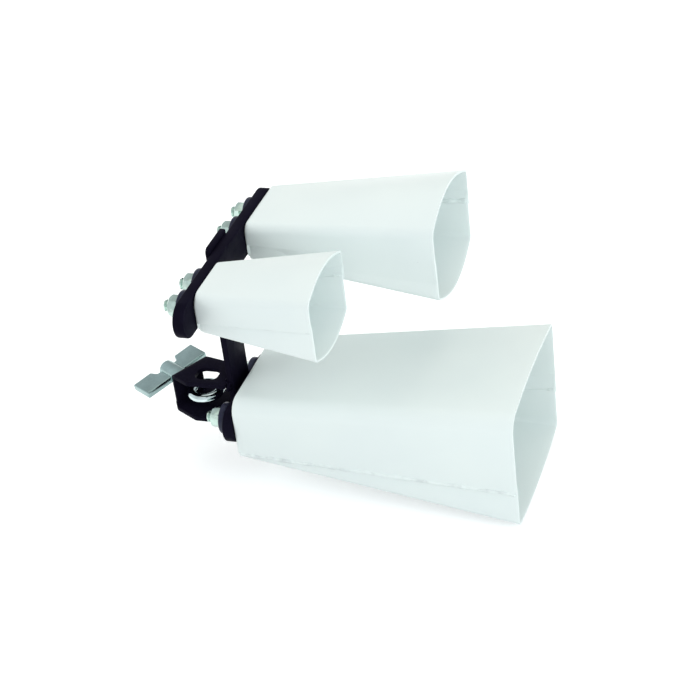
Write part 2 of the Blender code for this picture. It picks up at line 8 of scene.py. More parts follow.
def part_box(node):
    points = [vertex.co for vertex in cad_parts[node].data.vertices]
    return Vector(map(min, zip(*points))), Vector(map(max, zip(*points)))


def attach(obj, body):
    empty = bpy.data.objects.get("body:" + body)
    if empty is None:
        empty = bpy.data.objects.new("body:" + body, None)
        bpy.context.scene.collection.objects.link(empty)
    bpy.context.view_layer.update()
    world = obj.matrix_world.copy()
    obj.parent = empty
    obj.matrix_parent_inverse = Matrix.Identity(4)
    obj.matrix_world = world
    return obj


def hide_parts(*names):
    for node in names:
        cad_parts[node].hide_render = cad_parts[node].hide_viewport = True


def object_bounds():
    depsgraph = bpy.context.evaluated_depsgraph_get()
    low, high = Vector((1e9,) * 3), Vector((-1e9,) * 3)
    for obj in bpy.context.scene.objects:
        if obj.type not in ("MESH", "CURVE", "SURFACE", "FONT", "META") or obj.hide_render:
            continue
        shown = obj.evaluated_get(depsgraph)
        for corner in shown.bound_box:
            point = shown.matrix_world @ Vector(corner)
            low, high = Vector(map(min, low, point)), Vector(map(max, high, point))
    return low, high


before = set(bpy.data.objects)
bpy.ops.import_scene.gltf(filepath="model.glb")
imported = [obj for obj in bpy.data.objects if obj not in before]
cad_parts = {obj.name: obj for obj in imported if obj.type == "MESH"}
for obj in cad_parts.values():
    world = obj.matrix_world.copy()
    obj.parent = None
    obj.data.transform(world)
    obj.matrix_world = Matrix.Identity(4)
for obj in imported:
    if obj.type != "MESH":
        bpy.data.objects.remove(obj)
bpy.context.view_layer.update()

print("frame loaded:", len(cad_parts), "nodes")


# hand tools: what one does in the viewport, kept short

fine = {"seed": 0.0001, "merge": 0.00001, "same": 1e-6, "crossing": 0.001}  # small lengths in metres


def clearPick():
    if bpy.context.object and bpy.context.object.mode != "OBJECT":
        bpy.ops.object.mode_set(mode="OBJECT")
    bpy.ops.object.select_all(action="DESELECT")


def workOn(piece):
    clearPick()
    piece.select_set(True)
    bpy.context.view_layer.objects.active = piece


def edit(piece):
    workOn(piece)
    bpy.ops.object.mode_set(mode="EDIT")
    bpy.ops.mesh.select_mode(type="VERT")
    bpy.ops.mesh.select_all(action="SELECT")


def done():
    bpy.ops.object.mode_set(mode="OBJECT")


def named(name):
    piece = bpy.context.object
    piece.name = name
    piece.data.name = name
    return piece


def pick(kind, test):
    # select by place or normal in edit mode
    bpy.ops.mesh.select_mode(type=kind)
    bpy.ops.mesh.select_all(action="DESELECT")
    cage = bmesh.from_edit_mesh(bpy.context.object.data)
    for part in {"VERT": cage.verts, "EDGE": cage.edges, "FACE": cage.faces}[kind]:
        if test(part):
            part.select_set(True)
    cage.select_flush_mode()
    bmesh.update_edit_mesh(bpy.context.object.data)


def runsAlong(edge, axis):
    return abs(edge.verts[0].co[axis] - edge.verts[1].co[axis]) > fine["crossing"]


def liesAt(edge, x):
    return all(abs(v.co.x - x) < fine["same"] for v in edge.verts)


def mergeAll(distance=fine["merge"]):
    bpy.ops.mesh.select_all(action="SELECT")
    bpy.ops.mesh.remove_doubles(threshold=distance)


def bridgeAll(cuts):
    bpy.ops.mesh.select_all(action="SELECT")
    bpy.ops.mesh.bridge_edge_loops(number_cuts=cuts, interpolation="LINEAR")


def faceOut():
    bpy.ops.mesh.select_all(action="SELECT")
    bpy.ops.mesh.normals_make_consistent(inside=False)


def closeEnds():
    pick("EDGE", lambda e: len(e.link_faces) == 1)
    bpy.ops.mesh.fill_holes(sides=0)


def bevelPicked(width, segments):
    bpy.ops.mesh.bevel(offset=width, segments=segments, profile=0.5, affect="EDGES")


def roundRims(axis, width, segments):
    # the outline edges of the two flat faces across one axis
    def onRim(e):
        if len(e.link_faces) != 2:
            return False
        flats = [abs(f.normal[axis]) > 0.9 for f in e.link_faces]
        return flats[0] != flats[1]
    pick("EDGE", onRim)
    bevelPicked(width, segments)


def applyAll(piece):
    workOn(piece)
    for modifier in list(piece.modifiers):
        bpy.ops.object.modifier_apply(modifier=modifier.name)


def softEdges(piece, width, segments, angle):
    bevel = piece.modifiers.new("softEdges", "BEVEL")
    bevel.width = width
    bevel.segments = segments
    bevel.limit_method = "ANGLE"
    bevel.angle_limit = math.radians(angle)
    bevel.use_clamp_overlap = True
    applyAll(piece)


def combine(piece, other, operation):
    cut = piece.modifiers.new("combine", "BOOLEAN")
    cut.operation = operation
    cut.solver = "MANIFOLD"
    cut.object = other
    applyAll(piece)
    bpy.data.objects.remove(other, do_unlink=True)


def smooth(piece, angle):
    workOn(piece)
    bpy.ops.object.shade_smooth_by_angle(angle=math.radians(angle))


def settle(piece, place=(0, 0, 0), turn=(0, 0, 0)):
    # move and turn, then put the place into the mesh
    workOn(piece)
    piece.location = place
    piece.rotation_euler = turn
    bpy.ops.object.transform_apply(location=True, rotation=True, scale=True)


def twin(piece, name, shift, spin):
    # a copy with its own mesh, turned about the X axis and then shifted
    other = piece.copy()
    other.data = piece.data.copy()
    other.name = name
    other.data.name = name
    bpy.context.scene.collection.objects.link(other)
    if spin:
        settle(other, turn=(spin, 0, 0))
    settle(other, shift)
    return other


def emptyMesh(name):
    clearPick()
    bpy.ops.mesh.primitive_plane_add(size=fine["seed"], location=(0, 0, 0))
    piece = named(name)
    edit(piece)
    bpy.ops.mesh.delete(type="VERT")
    return piece


def drawLine(points):
    # one vertex pulled along a row of points
    bpy.ops.mesh.select_mode(type="VERT")
    bpy.ops.mesh.select_all(action="DESELECT")
    bpy.ops.mesh.primitive_plane_add(size=fine["seed"], location=points[0])
    bpy.ops.mesh.merge(type="CENTER")
    for here, there in zip(points, points[1:]):
        step = Vector(there) - Vector(here)
        bpy.ops.mesh.extrude_region_move(TRANSFORM_OT_translate={"value": step})


def boxOn(name, low, high):
    clearPick()
    bpy.ops.mesh.primitive_cube_add(size=1, location=(low + high) / 2, scale=high - low)
    piece = named(name)
    settle(piece, piece.location.copy())
    return piece


def rodX(name, radius, start, stop, sides, y=0.0, z=0.0):
    clearPick()
    bpy.ops.mesh.primitive_cylinder_add(vertices=sides, radius=radius, depth=abs(stop - start),
                                        location=((start + stop) / 2, y, z), rotation=(0, math.pi / 2, 0))
    piece = named(name)
    settle(piece, piece.location.copy(), piece.rotation_euler.copy())
    return piece


def drill(piece, radius, start, stop, sides, y=0.0, z=0.0):
    combine(piece, rodX("drill", radius, start, stop, sides, y, z), "DIFFERENCE")


def lerp(a, b, t):
    return a + (b - a) * t


# materials: all from nodes on Object coordinates, in metres
# a noise is (scale, detail), then its roughness and its stretch where they matter

def noise(tree, coord, scale, detail, rough=0.5, stretch=None):
    node = tree.nodes.new("ShaderNodeTexNoise")
    node.inputs["Scale"].default_value = scale
    node.inputs["Detail"].default_value = detail
    node.inputs["Roughness"].default_value = rough
    source = coord.outputs["Object"]
    if stretch:
        mapping = tree.nodes.new("ShaderNodeMapping")
        mapping.inputs["Scale"].default_value = stretch
        tree.links.new(source, mapping.inputs["Vector"])
        source = mapping.outputs["Vector"]
    tree.links.new(source, node.inputs["Vector"])
    return node.outputs["Fac"]


def ramp(tree, source, stops):
    node = tree.nodes.new("ShaderNodeValToRGB")
    node.color_ramp.elements[0].position = stops[0][0]
    node.color_ramp.elements[0].color = (*stops[0][1], 1)
    node.color_ramp.elements[1].position = stops[-1][0]
    node.color_ramp.elements[1].color = (*stops[-1][1], 1)
    for place, colour in stops[1:-1]:
        node.color_ramp.elements.new(place).color = (*colour, 1)
    tree.links.new(source, node.inputs["Fac"])
    return node.outputs["Color"]


def spread(tree, source, low, high, fromLow=0.3, fromHigh=0.7):
    node = tree.nodes.new("ShaderNodeMapRange")
    node.inputs["From Min"].default_value = fromLow
    node.inputs["From Max"].default_value = fromHigh
    node.inputs["To Min"].default_value = low
    node.inputs["To Max"].default_value = high
    tree.links.new(source, node.inputs["Value"])
    return node.outputs["Result"]


def blendColour(tree, factor, under, over):
    node = tree.nodes.new("ShaderNodeMix")
    node.data_type = "RGBA"
    tree.links.new(factor, node.inputs["Factor"])
    tree.links.new(under, node.inputs[6])
    node.inputs[7].default_value = (*over, 1)
    return node.outputs[2]


def mathNode(tree, operation, first, second=None):
    node = tree.nodes.new("ShaderNodeMath")
    node.operation = operation
    tree.links.new(first, node.inputs[0])
    if isinstance(second, float):
        node.inputs[1].default_value = second
    elif second:
        tree.links.new(second, node.inputs[1])
    return node.outputs[0]


def relief(tree, shader, layers):
    # bump nodes one after another: (height, strength, depth)
    last = None
    for height, strength, depth in layers:
        node = tree.nodes.new("ShaderNodeBump")
        node.inputs["Strength"].default_value = strength
        node.inputs["Distance"].default_value = depth
        tree.links.new(height, node.inputs["Height"])
        if last:
            tree.links.new(last, node.inputs["Normal"])
        last = node.outputs["Normal"]
    tree.links.new(last, shader.inputs["Normal"])


def makeFinish(name, look):
    finish = bpy.data.materials.new(name)
    finish.use_nodes = True
    tree = finish.node_tree
    shader = tree.nodes["Principled BSDF"]
    coord = tree.nodes.new("ShaderNodeTexCoord")
    colour = ramp(tree, noise(tree, coord, *look["drift"]), look["colours"])
    if "marks" in look:
        marks = spread(tree, noise(tree, coord, *look["marks"]), 0.0, look["markShare"], *look["markRange"])
        colour = blendColour(tree, marks, colour, look["markColour"])
    tree.links.new(colour, shader.inputs["Base Color"])
    gloss = spread(tree, noise(tree, coord, *look["gloss"]), *look["roughness"])
    tree.links.new(gloss, shader.inputs["Roughness"])
    for socket, value in look["sockets"].items():
        shader.inputs[socket].default_value = value
    relief(tree, shader, [(noise(tree, coord, *grain), strength, depth)
                          for grain, strength, depth in look["relief"]])
    return finish


# bells: pale coat with a wavy sheet under it and a fine peel, few marks
whiteCoat = {
    "drift": (14.0, 2.0), "colours": [(0.30, (0.825, 0.893, 0.877)), (0.68, (0.855, 0.92, 0.895))],
    "marks": (95.0, 6.0, 0.62), "markShare": 0.55, "markRange": (0.72, 0.90),
    "markColour": (0.50, 0.53, 0.545), "gloss": (55.0, 4.0), "roughness": (0.30, 0.44),
    "sockets": {"Specular IOR Level": 0.42, "Coat Weight": 0.12, "Coat Roughness": 0.16},
    "relief": [((26.0, 1.0, 0.3), 0.10, 0.004), ((620.0, 1.5, 0.4), 0.07, 0.0004)],
}

# weld beads: the same coat with far more grey marks, partly weld dirt and partly painted shade greying the
# lumpy beads
beadDirtAndShadeCoat = {**whiteCoat, "markRange": (0.47, 0.73)}

# bracket: satin black with small nicks
blackCoat = {
    "drift": (60.0, 5.0, 0.6),
    "colours": [(0.34, (0.0060, 0.0050, 0.0118)), (0.70, (0.0088, 0.0075, 0.0168))],
    "marks": (420.0, 3.0, 0.7), "markShare": 0.5, "markRange": (0.70, 0.80),
    "markColour": (0.026, 0.025, 0.033), "gloss": (130.0, 4.0), "roughness": (0.28, 0.40),
    "sockets": {"Specular IOR Level": 0.012, "Specular Tint": (0.80, 0.84, 1.0, 1)},
    "relief": [((130.0, 2.0, 0.4), 0.12, 0.0012), ((900.0, 2.0, 0.5), 0.12, 0.0003)],
}

# bolts and nuts: bright zinc with tool marks round the axis
zincPlate = {
    "drift": (340.0, 4.0, 0.6), "colours": [(0.32, (0.50, 0.635, 0.58)), (0.60, (0.57, 0.715, 0.655))],
    "gloss": (520.0, 3.0), "roughness": (0.09, 0.15), "sockets": {"Metallic": 1.0},
    "relief": [((420.0, 2.0, 0.5, (6.0, 1.0, 1.0)), 0.04, 0.0001)],
}

# eyebolt
chromePlate = {
    "drift": (180.0, 4.0, 0.6), "colours": [(0.34, (0.61, 0.715, 0.725)), (0.64, (0.68, 0.79, 0.80))],
    "gloss": (300.0, 4.0), "roughness": (0.05, 0.10), "sockets": {"Metallic": 1.0},
    "relief": [((210.0, 2.0, 0.4), 0.03, 0.0006), ((1100.0, 3.0, 0.6), 0.03, 0.0001)],
}

# wing nut: a duller plate on a rougher casting
satinPlate = {
    **chromePlate, "colours": [(0.34, (0.335, 0.45, 0.445)), (0.64, (0.375, 0.50, 0.495))],
    "roughness": (0.14, 0.20),
    "relief": [((210.0, 2.0, 0.4), 0.04, 0.0006), ((1100.0, 3.0, 0.6), 0.04, 0.0001)],
}

# washers
rubberSkin = {
    "drift": (260.0, 4.0, 0.6),
    "colours": [(0.36, (0.0085, 0.0085, 0.0240)), (0.68, (0.0150, 0.0155, 0.0420))],
    "gloss": (500.0, 3.0), "roughness": (0.28, 0.38),
    "sockets": {"Specular IOR Level": 0.40, "Specular Tint": (0.78, 0.84, 1.0, 1)},
    "relief": [((1400.0, 2.0, 0.5), 0.10, 0.0002)],
}

bellFinish = makeFinish("bellWhiteCoat", whiteCoat)
# the beads' grey marks are partly weld dirt and partly painted shade
beadDirtAndShadeFinish = makeFinish("weldBeadDirtAndShadeCoat", beadDirtAndShadeCoat)
bracketFinish = makeFinish("bracketBlackCoat", blackCoat)
zincFinish = makeFinish("fastenerZinc", zincPlate)
eyeFinish = makeFinish("eyeChrome", chromePlate)
wingFinish = makeFinish("wingSatinPlate", satinPlate)
washerFinish = makeFinish("washerRubber", rubberSkin)
print("finishes made")


def keep(piece, finish, slot, body, *nodes):
    piece.data.materials.clear()
    piece.data.materials.append(finish)
    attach(piece, body)
    if nodes:
        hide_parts(*nodes)


# the bells: two bent sheets each, lapped and welded on the narrow sides

sheet = {"endX": 0.0325, "wall": 0.0015, "endBend": 0.002, "endSteps": 4, "farBend": 0.004, "lap": 0.003,
         "gap": 0.0003, "arcSteps": 10, "crownSteps": 18, "rows": 40, "rim": 0.00068, "rimSteps": 3,
         "rimAngle": 50, "smoothAngle": 40}
boltHole = {"radius": 0.0043, "sides": 24, "behind": 0.003, "inside": 0.006, "pastBar": 0.002}

bells = {
    "large": {"y": 0.006, "z": -0.00535, "length": 0.2027, "mouthWidth": 0.120, "mouthSide": 0.0852,
              "crown": 0.004, "endWidth": 0.085, "endHeight": 0.0477, "bendMouth": 0.013, "bendEnd": 0.0115,
              "foot": 0.005, "seamMouth": -0.0145, "seamEnd": -0.0182},
    "medium": {"y": 0.0605, "z": 0.105, "length": 0.1389, "mouthWidth": 0.0885, "mouthSide": 0.052,
               "crown": 0.012, "endWidth": 0.060, "endHeight": 0.0295, "bendMouth": 0.009, "bendEnd": 0.0075,
               "foot": 0.005, "seamMouth": 0.0002, "seamEnd": 0.0002},
    "small": {"y": -0.0405, "z": 0.1065, "length": 0.0836, "mouthWidth": 0.069, "mouthSide": 0.0435,
              "crown": 0.008, "endWidth": 0.0465, "endHeight": 0.029, "bendMouth": 0.006, "bendEnd": 0.010,
              "foot": 0.004, "seamMouth": 0.0017, "seamEnd": -0.0052},
}


def boltPlace(size, side):
    low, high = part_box(f"{size}_bell_nut_{side}")
    return (low.y + high.y) / 2, (low.z + high.z) / 2


def cornerArc(y, z, radius, start, stop):
    steps = sheet["arcSteps"]
    turns = [lerp(start, stop, i / steps) for i in range(steps + 1)]
    return [(y + radius * math.cos(a), z + radius * math.sin(a)) for a in turns]


def shoulder(halfWidth, top, rise, bend):
    drop = bend * math.tan((math.pi / 2 - rise) / 2)
    return cornerArc(bend - halfWidth, top - drop, bend, math.pi, math.pi / 2 + rise)


def archLine(halfWidth, top, crown, nearBend, farBend, foot):
    # up the near side, over the crowned face, down the far side
    slope = 2 * crown / halfWidth
    near = shoulder(halfWidth, top, math.atan(slope), nearBend)
    far = [(-y, z) for y, z in reversed(shoulder(halfWidth, top, math.atan(slope), farBend))]
    (y0, z0), (y1, z1) = near[-1], far[0]
    face = []
    for i in range(1, sheet["crownSteps"]):
        u = i / sheet["crownSteps"]
        rise = slope * (y1 - y0) * (u - u * u)
        face.append((lerp(y0, y1, u), lerp(z0, z1, u * u * (3 - 2 * u)) + rise))
    return [(-halfWidth, foot)] + near + face + far + [(halfWidth, foot)]


def bellSection(bell, t):
    # half width, half height at the shoulders, crown and seam height, t from the closed end to the mouth
    return (lerp(bell["endWidth"], bell["mouthWidth"], t) / 2,
            lerp(bell["endHeight"], bell["mouthSide"], t) / 2,
            bell["crown"] * t, lerp(bell["seamEnd"], bell["seamMouth"], t))


def thicken(piece):
    wall = piece.modifiers.new("wall", "SOLIDIFY")
    wall.thickness = sheet["wall"]
    wall.offset = -1
    wall.use_even_offset = True
    applyAll(piece)


def finishSheet(piece, node):
    softEdges(piece, sheet["rim"], sheet["rimSteps"], sheet["rimAngle"])
    smooth(piece, sheet["smoothAngle"])
    keep(piece, bellFinish, "bell_white", "frame", node)


def upperShell(size, bell):
    piece = emptyMesh(f"{size}UpperShell")
    endX = sheet["endX"]
    lines = []
    for t in (0.0, 1.0):
        halfWidth, top, crown, seam = bellSection(bell, t)
        bend = lerp(bell["bendEnd"], bell["bendMouth"], t)
        line = archLine(halfWidth, top, crown, bend, sheet["farBend"], seam)
        lines.append([(endX + t * bell["length"], bell["y"] + y, bell["z"] + z) for y, z in line])
    drawLine(lines[0])
    drawLine(lines[1])
    bridgeAll(sheet["rows"])
    # end wall down to the foot of the lower sheet, with its own cut corners
    halfWidth, _, _, seam = bellSection(bell, 0.0)
    corner = bell["foot"]
    floor = -bell["endHeight"] / 2
    side = halfWidth - sheet["endBend"]
    foot = [(side, floor + corner), (side - corner, floor), (corner - side, floor), (-side, floor + corner)]
    if seam - floor <= corner:
        foot = foot[1:3]
    drawLine([lines[0][-1]] + [(endX, bell["y"] + y, bell["z"] + z) for y, z in foot] + [lines[0][0]])
    mergeAll()
    pick("EDGE", lambda e: liesAt(e, endX))
    bpy.ops.mesh.edge_face_add()
    faceOut()
    pick("EDGE", lambda e: len(e.link_faces) == 2 and liesAt(e, endX))
    bevelPicked(sheet["endBend"], sheet["endSteps"])
    done()
    endWall = max(piece.data.polygons, key=lambda p: len(p.vertices))
    if endWall.normal.x > 0:
        piece.data.flip_normals()
    thicken(piece)
    for boltSide in ("near", "far"):
        y, z = boltPlace(size, boltSide)
        drill(piece, boltHole["radius"], endX - boltHole["behind"], endX + boltHole["inside"],
              boltHole["sides"], y, z)
    finishSheet(piece, f"{size}_bell_upper_shell")


def lowerShell(size, bell):
    piece = emptyMesh(f"{size}LowerShell")
    inset = sheet["wall"] + sheet["gap"]
    for x in (sheet["endX"] + sheet["endBend"] + sheet["gap"], sheet["endX"] + bell["length"]):
        t = (x - sheet["endX"]) / bell["length"]
        halfWidth, top, crown, seam = bellSection(bell, t)
        line = archLine(halfWidth - inset, top, crown, bell["foot"], bell["foot"], -seam - sheet["lap"])
        drawLine([(x, bell["y"] + y, bell["z"] - z) for y, z in line])
    bridgeAll(sheet["rows"])
    faceOut()
    done()
    lowest = min(piece.data.polygons, key=lambda p: p.center.z)
    if lowest.normal.z > 0:
        piece.data.flip_normals()
    thicken(piece)
    finishSheet(piece, f"{size}_bell_lower_shell")


for size, bell in bells.items():
    upperShell(size, bell)
    lowerShell(size, bell)
print("bells shaped")


# weld beads: a lumpy tube along a row of points

beadLook = {"sides": 12, "lump": 0.0055, "step": 0.0013, "smoothAngle": 60}


def weldBead(name, points, radius, finish, slot, lumps):
    points = [Vector(point) for point in points]
    piece = emptyMesh(name)
    for i, place in enumerate(points):
        along = points[min(i + 1, len(points) - 1)] - points[max(i - 1, 0)]
        bpy.ops.mesh.select_all(action="DESELECT")
        bpy.ops.mesh.primitive_circle_add(vertices=beadLook["sides"], radius=radius, location=place,
                                          rotation=along.to_track_quat("Z", "Y").to_euler())
    longest = max((there - here).length for here, there in zip(points, points[1:]))
    bridgeAll(max(1, int(longest / beadLook["step"])))
    closeEnds()
    faceOut()
    done()
    clouds = bpy.data.textures.new(name + "Lumps", "CLOUDS")
    clouds.noise_scale = beadLook["lump"]
    clouds.noise_depth = 1
    push = piece.modifiers.new("lumps", "DISPLACE")
    push.texture = clouds
    push.texture_coords = "LOCAL"
    push.strength = radius * lumps
    push.mid_level = 0.5
    applyAll(piece)
    smooth(piece, beadLook["smoothAngle"])
    keep(piece, finish, slot, "frame")


def seamPoint(bell, t, side, inward, drop):
    halfWidth, _, _, seam = bellSection(bell, t)
    return (sheet["endX"] + t * bell["length"], bell["y"] + side * (halfWidth - inward),
            bell["z"] + seam - drop)


# a weld ground down to a long slope from one sheet to the other
flushLook = {"lip": 0.0001, "root": 0.0002, "toeInside": 0.0006, "toeOutside": 0.0008, "rows": 6,
             "smoothAngle": 30}


def flushWeld(name, bell, side, stations, inside=False):
    look = flushLook
    wall = sheet["wall"]
    inset = wall + sheet["gap"]
    lap = -sheet["lap"]
    piece = emptyMesh(name)
    for t, wide in stations:
        if inside:
            places = [(inset + wall - look["lip"], lap), (wall, lap - wide),
                      (wall - look["toeInside"], lap - wide), (wall - look["root"], lap)]
        else:
            places = [(look["lip"], 0.0), (inset, wide),
                      (inset + look["toeOutside"], wide), (inset + look["root"], 0.0)]
        corners = [seamPoint(bell, t, side, inward, drop) for inward, drop in places]
        drawLine(corners + corners[:1])
    mergeAll()
    bridgeAll(look["rows"])
    closeEnds()
    faceOut()
    done()
    smooth(piece, look["smoothAngle"])
    keep(piece, bellFinish, "bell_white", "frame")


# a bead round the end wall's foot, from seam to seam
footLook = {"radius": 0.0013, "inX": 0.0017, "belowSeam": 0.0006, "leastRise": 0.002, "lumps": 0.4}


def footWeld(name, bell):
    look = footLook
    halfWidth, top, _, seam = bellSection(bell, 0.0)
    sink = look["radius"]
    half = halfWidth - sheet["wall"] - sheet["gap"] - sink
    bend = bell["foot"] - sink
    arc = cornerArc(bend - half, bend - top + sink, bend, math.pi, 1.5 * math.pi)[::2]
    line = arc + [(-y, z) for y, z in reversed(arc)]
    if seam - arc[0][1] > look["leastRise"]:
        end = seam - look["belowSeam"]
        line = [(-half, end)] + line + [(half, end)]
    weldBead(name, [(sheet["endX"] + look["inX"], bell["y"] + y, bell["z"] + z) for y, z in line],
             look["radius"], bellFinish, "bell_white", look["lumps"])


# seams: an outside bead on the large and small bells, a ground slope on the medium one,
# and inside each bell a slope with a lump at the mouth
seamRun = {"beadStart": 0.012, "beadDrop": 0.0002, "mouthGap": 0.0016, "rimGap": 0.0003,
           "insideStart": (0.16, 0.003), "lumpInward": 0.0026, "lumpRough": 0.9}
seamLook = {
    "large": {"radius": 0.0018, "inward": 0.0011, "lumps": 0.85, "lumpStart": 0.975, "lump": 0.0012,
              "slope": 0.012},
    "medium": {"outside": [(0.02, 0.0015), (0.18, 0.003), (0.36, 0.013)], "outsideMouth": 0.014,
               "lumpStart": 0.87, "lump": 0.0019, "slope": 0.008},
    "small": {"radius": 0.0011, "inward": 0.0013, "lumps": 0.45, "lumpStart": 0.93, "lump": 0.0012,
              "slope": 0.006},
}


def weldSeam(name, bell, look, side):
    mouthShare = 1 - seamRun["mouthGap"] / bell["length"]
    rimShare = 1 - seamRun["rimGap"] / bell["length"]
    # outside, in the corner under the upper sheet's edge
    if "radius" in look:
        line = [seamPoint(bell, t, side, look["inward"], seamRun["beadDrop"])
                for t in (seamRun["beadStart"], mouthShare)]
        weldBead(name, line, look["radius"], beadDirtAndShadeFinish, "bell_white", look["lumps"])
    else:
        flushWeld(name, bell, side, look["outside"] + [(rimShare, look["outsideMouth"])])
    # inside, over the lower sheet's edge
    flushWeld(f"{name}Inside", bell, side, [seamRun["insideStart"], (rimShare, look["slope"])], True)
    line = [seamPoint(bell, t, side, seamRun["lumpInward"], -sheet["lap"])
            for t in (look["lumpStart"], mouthShare)]
    weldBead(f"{name}Lump", line, look["lump"], beadDirtAndShadeFinish, "bell_white", seamRun["lumpRough"])


for size, bell in bells.items():
    weldSeam(f"{size}WeldNear", bell, seamLook[size], -1)
    weldSeam(f"{size}WeldFar", bell, seamLook[size], 1)
    footWeld(f"{size}WeldFoot", bell)
print("seams welded")


# bracket: flat bars and the arm

barLook = {"edge": 0.0009, "edgeSteps": 3, "endSteps": 14, "endSlack": 0.00001, "merge": 0.00003,
           "smoothAngle": 35}
armLook = {"nearCorner": 0.004, "farCorner": 0.001, "cornerSteps": 8, "atTop": 0.0001, "offMiddle": 0.012}


def finishBar(piece, node):
    smooth(piece, barLook["smoothAngle"])
    keep(piece, bracketFinish, "bracket_black", "frame", node)


def flatBar(name, node, places):
    low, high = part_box(node)
    piece = boxOn(name, low, high)
    edit(piece)
    pick("EDGE", lambda e: runsAlong(e, 0))
    bevelPicked((high.z - low.z) / 2 - barLook["endSlack"], barLook["endSteps"])
    mergeAll(barLook["merge"])
    roundRims(0, barLook["edge"], barLook["edgeSteps"])
    done()
    for y, z in places:
        drill(piece, boltHole["radius"], low.x - boltHole["pastBar"], high.x + boltHole["pastBar"],
              boltHole["sides"], y, z)
    finishBar(piece, node)


def uprightArm():
    low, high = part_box("upright_arm")
    piece = boxOn("uprightArm", low, high)
    edit(piece)
    middle = (low.y + high.y) / 2
    for corner, side in ((armLook["nearCorner"], -1), (armLook["farCorner"], 1)):
        pick("EDGE", lambda e: runsAlong(e, 0) and e.verts[0].co.z > high.z - armLook["atTop"]
             and side * (e.verts[0].co.y - middle) > armLook["offMiddle"])
        bevelPicked(corner, armLook["cornerSteps"])
    roundRims(0, barLook["edge"], barLook["edgeSteps"])
    done()
    finishBar(piece, "upright_arm")


upperPlaces = [boltPlace(size, side) for size in ("small", "medium") for side in ("near", "far")]
lowerPlaces = [boltPlace("large", side) for side in ("near", "far")]
flatBar("crossBar", "cross_bar", upperPlaces)
flatBar("lowerBar", "lower_bar", lowerPlaces)
uprightArm()


# black beads between arm, bars and clamp; the corner's ends are (out from the arm, up from the flange)
jointLook = {"radius": 0.0017, "lumps": 0.7, "armSink": 0.0002, "barFoot": 0.004, "barHead": 0.003,
             "clampSink": 0.0003, "clampStart": 0.0015, "clampEnd": 0.0118, "cornerGrow": 1.15,
             "cornerLumps": 0.6, "cornerAside": 0.0008, "cornerEnds": ((0.0005, -0.0055), (0.0016, 0.0002))}


def jointBead(name, ends, grow=1.0, lumps=jointLook["lumps"]):
    weldBead(name, ends, jointLook["radius"] * grow, bracketFinish, "bracket_black", lumps)


def bracketWelds():
    look = jointLook
    armLow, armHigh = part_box("upright_arm")
    x = armHigh.x - look["armSink"]
    for word, node in (("Upper", "cross_bar"), ("Lower", "lower_bar")):
        barLow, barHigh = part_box(node)
        for side, y in (("Near", armLow.y), ("Far", armHigh.y)):
            jointBead(f"arm{word}Weld{side}", [(x, y, barLow.z + look["barFoot"]),
                                               (x, y, barHigh.z - look["barHead"])])
    clampLow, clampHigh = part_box("rod_clamp")
    x = armLow.x - look["clampSink"]
    for word, z in (("Top", clampHigh.z), ("Bottom", clampLow.z)):
        jointBead(f"clampWeld{word}", [(x, armLow.y + look["clampStart"], z), (x, look["clampEnd"], z)])
    # a run round the arm's near edge, under the upper flange
    y = armLow.y - look["cornerAside"]
    jointBead("clampWeldCorner", [(armLow.x + out, y, clampHigh.z + up) for out, up in look["cornerEnds"]],
              look["cornerGrow"], look["cornerLumps"])


bracketWelds()
print("bracket built")


# rod clamp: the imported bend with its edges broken, angles in degrees

clampLook = {"edge": 0.0005, "edgeSteps": 3, "edgeAngle": 30, "flatAngle": 1.5, "smoothAngle": 35}


def rodClamp():
    look = clampLook
    piece = bpy.data.objects.new("rodClamp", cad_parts["rod_clamp"].data.copy())
    bpy.context.scene.collection.objects.link(piece)
    workOn(piece)
    bpy.ops.mesh.customdata_custom_splitnormals_clear()
    edit(piece)
    mergeAll()
    bpy.ops.mesh.dissolve_limited(angle_limit=math.radians(look["flatAngle"]))
    done()
    softEdges(piece, look["edge"], look["edgeSteps"], look["edgeAngle"])
    smooth(piece, look["smoothAngle"])
    keep(piece, bracketFinish, "bracket_black", "frame", "rod_clamp")


rodClamp()
print("clamp built")


# threaded rods, made with a screw from one pitch of the thread: (share of the pitch, on the crest)

thread = {"pitch": 0.00125, "depth": 0.0007, "steps": 24, "lead": 1.5, "spareTurns": 4,
          "profile": ((0, False), (0.12, False), (0.46, True), (0.60, True), (1.0, False)),
          "merge": 0.000004, "cut": 0.0000005}


def threadedRod(name, radius, start, stop):
    pitch = thread["pitch"]
    root = radius - thread["depth"]
    first = start - thread["lead"] * pitch
    piece = emptyMesh(name)
    drawLine([(first + share * pitch, 0, radius if crest else root) for share, crest in thread["profile"]])
    done()
    coil = piece.modifiers.new("coil", "SCREW")
    coil.axis = "X"
    coil.screw_offset = pitch
    coil.iterations = int((stop - start) / pitch) + thread["spareTurns"]
    coil.steps = thread["steps"]
    coil.render_steps = thread["steps"]
    coil.use_merge_vertices = True
    coil.merge_threshold = thread["merge"]
    applyAll(piece)
    edit(piece)
    mergeAll(thread["merge"])
    for x, waste in ((start, "clear_inner"), (stop, "clear_outer")):
        bpy.ops.mesh.select_all(action="SELECT")
        bpy.ops.mesh.bisect(plane_co=(x, 0, 0), plane_no=(1, 0, 0), use_fill=True, threshold=thread["cut"],
                            **{waste: True})
    faceOut()
    done()
    return piece


# eyebolt: ring round the rod, threaded shank out to the wing nut

eyeLook = {"turn": math.radians(150.5), "draw": 0.0025, "ring": 0.0099, "section": 0.0034, "ringSteps": 72,
           "sectionSteps": 28, "shank": 0.004, "shankStart": 0.0115, "shankEnd": 0.0455, "smoothAngle": 40}


